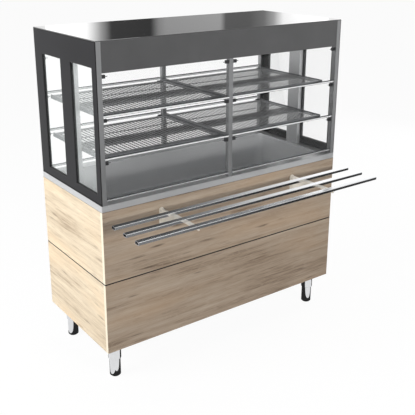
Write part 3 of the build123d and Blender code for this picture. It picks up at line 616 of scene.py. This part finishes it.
# Condenser: a stack of fins on tubes between two end plates
condenserSettings = {
    "Fins": 62, "Pitch": 0.0041, "Fin": 0.0004, "Depth": 0.036, "Height": 0.22, "Length": 0.256,
    "Tube": 0.009, "Tubes": 9, "Tube sides": 12, "Tube reach": 0.44,
    "Plate": 0.002, "Plate depth": 0.04, "Plate rise": 0.01, "Middle": (0.0, 0.0, 0.0),
}
stack = Growth("finStack", condenserSettings)
length, height, plate = stack.size("Length"), stack.size("Height"), stack.size("Plate")
finLine = stack.spots((stack.size("Fins") - 1) * stack.size("Pitch"), 0.0, stack.size("Fins"), 1)
fin = stack.box(stack.vector(stack.size("Fin"), stack.size("Depth"), height), (0, 0, 0))
reach = height * stack.size("Tube reach")
tubeLine = stack.node("GeometryNodeMeshLine", {"mode": "END_POINTS"}, {
    "Count": stack.size("Tubes"), "Start Location": stack.vector(0, 0, reach * -1.0),
    "Offset": stack.vector(0, 0, reach)})
tube = stack.node("GeometryNodeMeshCylinder", {}, {
    "Vertices": stack.size("Tube sides"), "Radius": stack.size("Tube") * 0.5, "Depth": length})
tube = stack.node("GeometryNodeTransform", {}, {"Geometry": tube, "Rotation": (0, math.pi / 2, 0)})
plates = [stack.box(stack.vector(plate, stack.size("Plate depth"), height + stack.size("Plate rise")),
                    stack.vector((length - plate) * half, 0, 0)) for half in (-0.5, 0.5)]
block = stack.joined([stack.placed(finLine, fin), stack.placed(tubeLine, tube)] + plates)
stack.grown([stack.moved(block, stack.size("Middle"))], materials["finAluminium"])
low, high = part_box("condenser")
fins = stack.piece("condenser_fins", {
    "Length": high[0] - low[0], "Height": high[2] - low[2] - condenserSettings["Plate rise"],
    "Middle": tuple((low[i] + high[i]) / 2 for i in range(3))}, "counter", "condenser_fins")
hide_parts("condenser")
print("rim and condenser made")

# Stage: a pale floor in a white room. The floor keeps a little of the shadow
stageSettings = {"floorShade": (250, 250, 250), "floorSize": 30.0, "floorLevel": -0.0005,
                 "shadowKept": 0.05, "worldFill": 0.27}

# Cards that only polished surfaces see: low corner, high corner, and brightness along X from 0 to 1
cardSettings = {
    "matUnder": ((-0.72, -0.16, 0.0), (0.95, 0.45, 0.0), [(0.0, 0.03), (1.0, 0.03)]),
    "underRails": ((-0.9, -1.30, 0.0), (2.6, -0.46, 0.0), [(0.0, 0.02), (1.0, 0.02)]),
    "underRight": ((0.95, -0.46, 0.0), (2.4, 0.35, 0.0), [(0.0, 0.02), (0.8, 0.02), (1.0, 0.3)]),
    "railFloor": ((-0.4, -2.15, 0.0), (3.6, -1.45, 0.0),
                  [(0.0, 0.4), (0.22, 0.35), (0.40, 0.10), (0.50, 0.02), (1.0, 0.02)]),
    "apronFloor": ((-0.4, -3.4, 0.0), (3.6, -2.15, 0.0),
                   [(0.0, 0.4), (0.30, 0.15), (0.45, 0.05), (1.0, 0.04)]),
    "railBack": ((-0.80, boardFront - 0.004, 0.805), (1.30, boardFront - 0.004, 1.05),
                 [(0.0, 0.09), (0.18, 0.10), (0.33, 0.35), (0.50, 0.85), (0.69, 1.40), (1.0, 1.50)]),
    "behind": ((1.7, 6.0, 1.0), (7.0, 6.0, 3.3),
               [(0.0, 1.6), (0.11, 1.4), (0.155, 0.42), (0.185, 0.055), (0.31, 0.045), (0.335, 0.28),
                (0.36, 0.36), (0.55, 0.40), (0.57, 0.12), (0.66, 0.12), (0.72, 0.19), (0.76, 0.42),
                (0.80, 1.1), (1.0, 1.6)]),
    "behindHigh": ((-0.5, 6.0, 3.35), (9.8, 6.0, 7.0),
                   [(0.0, 0.08), (0.34, 0.10), (0.46, 0.40), (0.60, 1.1), (1.0, 1.4)]),
}
cardStrength = 2.0


def cards():
    # each card glows on the side it faces and is clear from behind
    for name, (low, high, shades) in cardSettings.items():
        mesh = bpy.data.meshes.new(name)
        upright = high[2] > low[2]
        far = (high[0], low[1], high[2]) if upright else (high[0], high[1], low[2])
        mesh.from_pydata([low, (high[0], low[1], low[2]), far, (low[0], far[1], far[2])], [], [(0, 1, 2, 3)])
        card = bpy.data.objects.new(name, mesh)
        bpy.context.scene.collection.objects.link(card)
        card.visible_camera = card.visible_diffuse = False
        card.visible_shadow = card.visible_transmission = False
        finish = Finish(name)
        stops = [(place, (shade / cardStrength,) * 3 + (1.0,)) for place, shade in shades]
        shade = finish.ramp((finish.x - low[0]) / (high[0] - low[0]), stops)
        glow = finish.node("ShaderNodeEmission", {}, {"Color": shade, "Strength": cardStrength})
        behind = finish.node("ShaderNodeNewGeometry").pick("Backfacing")
        nothing = finish.node("ShaderNodeBsdfTransparent")
        shown = finish.node("ShaderNodeMixShader", {}, {0: behind, 1: glow, 2: nothing})
        finish.node("ShaderNodeOutputMaterial", {}, {"Surface": shown})
        mesh.materials.append(finish.material)


def seenRays(board):
    # 1 where the camera, a reflection or glass looks, 0 where light bounces
    path = board.node("ShaderNodeLightPath")
    return path.pick("Is Camera Ray").larger(path.pick("Is Glossy Ray")).larger(path.pick("Is Transmission Ray"))


def stageFloor():
    size, level = stageSettings["floorSize"], stageSettings["floorLevel"]
    mesh = bpy.data.meshes.new("floor")
    mesh.from_pydata([(-size, -size, level), (size, -size, level), (size, size, level), (-size, size, level)],
                     [], [(0, 1, 2, 3)])
    floor = bpy.data.objects.new("floor", mesh)
    bpy.context.scene.collection.objects.link(floor)
    finish = Finish("paleFloor")
    lit = finish.node("ShaderNodeBsdfDiffuse", {}, {"Color": plainColour(*stageSettings["floorShade"])})
    white = finish.node("ShaderNodeEmission", {}, {"Color": (1, 1, 1, 1), "Strength": 1.0})
    share = seenRays(finish) * (1 - stageSettings["shadowKept"])
    both = finish.node("ShaderNodeMixShader", {}, {0: share, 1: lit, 2: white})
    finish.node("ShaderNodeOutputMaterial", {}, {"Surface": both})
    mesh.materials.append(finish.material)


def surroundings():
    world = bpy.data.worlds.new("whiteRoom")
    world.use_nodes = True
    world.node_tree.nodes.clear()
    board = Board(world.node_tree)
    strength = stageSettings["worldFill"] + seenRays(board) * (1.0 - stageSettings["worldFill"])
    light = board.node("ShaderNodeBackground", {}, {"Color": (1, 1, 1, 1), "Strength": strength})
    board.node("ShaderNodeOutputWorld", {}, {"Surface": light})
    bpy.context.scene.world = world


lampSettings = {
    "keyLamp": {"place": (-4.6, 0.6, 2.6), "target": (0, 0.1, 0.8), "size": (3.0, 3.0),
                "power": 220.0, "mirrored": True},
    "frontLamp": {"place": (0.4, -4.4, 1.75), "target": (0, 0, 0.8), "size": (1.2, 0.4),
                  "power": 82.0, "mirrored": False},
    "rightLamp": {"place": (4.8, 1.4, 2.0), "target": (0, 0.1, 0.8), "size": (2.5, 2.5),
                  "power": 60.0, "mirrored": False},
    "topLamp": {"place": (0.6, 0.6, 5.0), "target": (0, 0, 1.0), "size": (3.0, 3.0),
                "power": 60.0, "mirrored": True},
}


def areaLamp(name, place, target, size, power, mirrored):
    lamp = bpy.data.lights.new(name, "AREA")
    lamp.shape = "RECTANGLE"
    lamp.size, lamp.size_y, lamp.energy = size[0], size[1], power
    holder = bpy.data.objects.new(name, lamp)
    bpy.context.scene.collection.objects.link(holder)
    holder.location = place
    holder.visible_glossy = mirrored
    aim = Vector(target) - Vector(place)
    holder.rotation_euler = aim.to_track_quat("-Z", "Y").to_euler()


# Camera: angles in degrees, lens and sensor in millimetres, shift in frame widths
cameraSettings = {"place": (-2.1339, -2.8672, 2.1196), "turn": 35.66, "down": 17.74, "lens": 60.91,
                  "sensor": 36.0, "shift": (0.0176, -0.10)}


def viewer():
    data = bpy.data.cameras.new("viewer")
    data.lens, data.sensor_width = cameraSettings["lens"], cameraSettings["sensor"]
    data.shift_x, data.shift_y = cameraSettings["shift"]
    camera = bpy.data.objects.new("viewer", data)
    bpy.context.scene.collection.objects.link(camera)
    camera.location = cameraSettings["place"]
    camera.rotation_euler = (math.radians(90 - cameraSettings["down"]), 0, math.radians(-cameraSettings["turn"]))
    bpy.context.scene.camera = camera


stageFloor()
surroundings()
cards()
for name, settings in lampSettings.items():
    areaLamp(name, **settings)
viewer()
bpy.context.scene.view_settings.view_transform = "Standard"
print("stage set")
